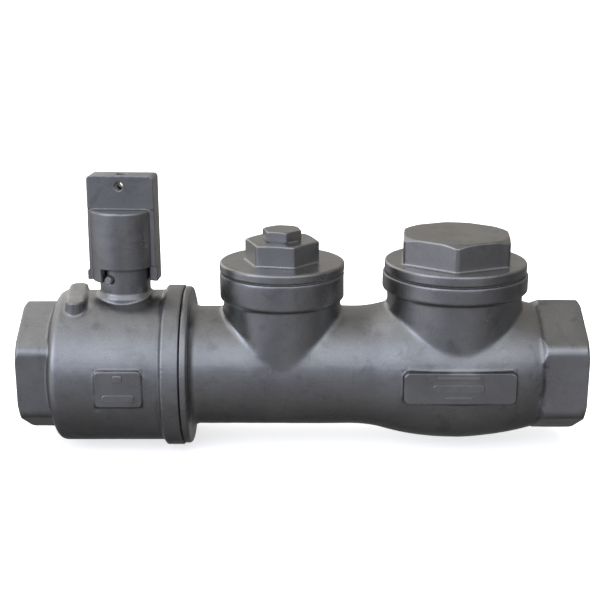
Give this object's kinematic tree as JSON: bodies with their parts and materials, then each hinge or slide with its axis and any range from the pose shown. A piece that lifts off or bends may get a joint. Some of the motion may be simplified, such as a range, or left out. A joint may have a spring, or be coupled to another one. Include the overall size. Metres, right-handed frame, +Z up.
{
  "type": "ball and swing check valve assembly",
  "caption": "Inline stainless pipe fitting: quarter-turn ball valve with tee operating head, capped cleanout port with test plug, and capped swing check valve.",
  "frame": {"origin": "on the pipe centreline at the outlet end face, which is the ball valve's hexagon end", "axes": "+X along the pipe from the outlet end to the inlet end, +Z up through the valve stem and the two port caps, +Y towards the side away from the cast pads"},
  "size_m": [0.332, 0.097, 0.1653],
  "materials": {
    "cast_stainless": "matt bead-blasted and pickled investment-cast stainless steel",
    "cast_stainless_cap": "matt investment-cast stainless steel with turned flange faces",
    "machined_stainless": "turned and ground stainless steel",
    "ball_stainless": "polished stainless steel",
    "ptfe": "white PTFE",
    "seal_rubber": "black FKM rubber",
    "gasket_sheet": "dark graphite-filled gasket sheet"
  },
  "bodies": {
    "housing": {"ball_valve_body": "cast_stainless", "check_valve_body": "cast_stainless", "ball_seat_outlet": "ptfe", "ball_seat_inlet": "ptfe", "body_joint_seal": "ptfe", "stem_thrust_washer": "ptfe", "stop_pin": "machined_stainless", "hinge_pin": "machined_stainless", "hinge_pin_plug": "machined_stainless", "hinge_plug_washer": "gasket_sheet"},
    "operator": {"operating_head": "cast_stainless", "head_screw": "machined_stainless", "stem": "machined_stainless", "stem_o_rings": "seal_rubber"},
    "ball": {"ball": "ball_stainless"},
    "clapper": {"clapper_arm": "cast_stainless"},
    "disc": {"clapper_disc": "machined_stainless", "disc_seal_ring": "seal_rubber", "disc_washer": "machined_stainless", "disc_nut": "machined_stainless", "disc_cotter_pin": "machined_stainless"},
    "cleanout_gasket": {"cleanout_gasket": "gasket_sheet"},
    "cleanout_cap": {"cleanout_cap": "cast_stainless_cap"},
    "plug_washer": {"test_plug_washer": "gasket_sheet"},
    "test_plug": {"test_plug": "cast_stainless_cap"},
    "check_gasket": {"check_gasket": "gasket_sheet"},
    "check_cap": {"check_cap": "cast_stainless_cap"}
  },
  "joints": [
    {"name": "head_turn", "type": "hinge", "parent": "housing", "child": "operator", "pos_m": [0.0605, 0, 0.08], "axis": [0, 0, -1], "range_deg": [0, 90]},
    {"name": "ball_turn", "type": "hinge", "parent": "housing", "child": "ball", "pos_m": [0.0605, 0, 0], "axis": [0, 0, -1], "range_deg": [0, 90]},
    {"name": "clapper_swing", "type": "hinge", "parent": "housing", "child": "clapper", "pos_m": [0.28, 0, 0.036], "axis": [0, 1, 0], "range_deg": [0, 70]},
    {"name": "disc_spin", "type": "hinge", "parent": "clapper", "child": "disc", "pos_m": [0.2815, 0, 0], "axis": [-0.9962, 0, 0.0872], "continuous": true},
    {"name": "cleanout_cap_rise", "type": "slide", "parent": "housing", "child": "cleanout_gasket", "axis": [0, 0, 1], "range_m": [0, 0.0141]},
    {"name": "cleanout_cap_turn", "type": "hinge", "parent": "cleanout_gasket", "child": "cleanout_cap", "pos_m": [0.154, 0, 0.0595], "axis": [0, 0, 1], "range_deg": [0, 2520]},
    {"name": "test_plug_rise", "type": "slide", "parent": "cleanout_cap", "child": "plug_washer", "axis": [0, 0, 1], "range_m": [0, 0.0108]},
    {"name": "test_plug_turn", "type": "hinge", "parent": "plug_washer", "child": "test_plug", "pos_m": [0.154, 0, 0.0783], "axis": [0, 0, 1], "range_deg": [0, 2880]},
    {"name": "check_cap_rise", "type": "slide", "parent": "housing", "child": "check_gasket", "axis": [0, 0, 1], "range_m": [0, 0.0141]},
    {"name": "check_cap_turn", "type": "hinge", "parent": "check_gasket", "child": "check_cap", "pos_m": [0.2571, 0, 0.0594], "axis": [0, 0, 1], "range_deg": [0, 2520]}
  ],
  "couplings": [
    {"joint": "ball_turn", "follows": "head_turn", "ratio": 1},
    {"joint": "cleanout_cap_rise", "follows": "cleanout_cap_turn", "m_per_rad": 0.00031831},
    {"joint": "test_plug_rise", "follows": "test_plug_turn", "m_per_rad": 0.00021279},
    {"joint": "check_cap_rise", "follows": "check_cap_turn", "m_per_rad": 0.00031831}
  ]
}
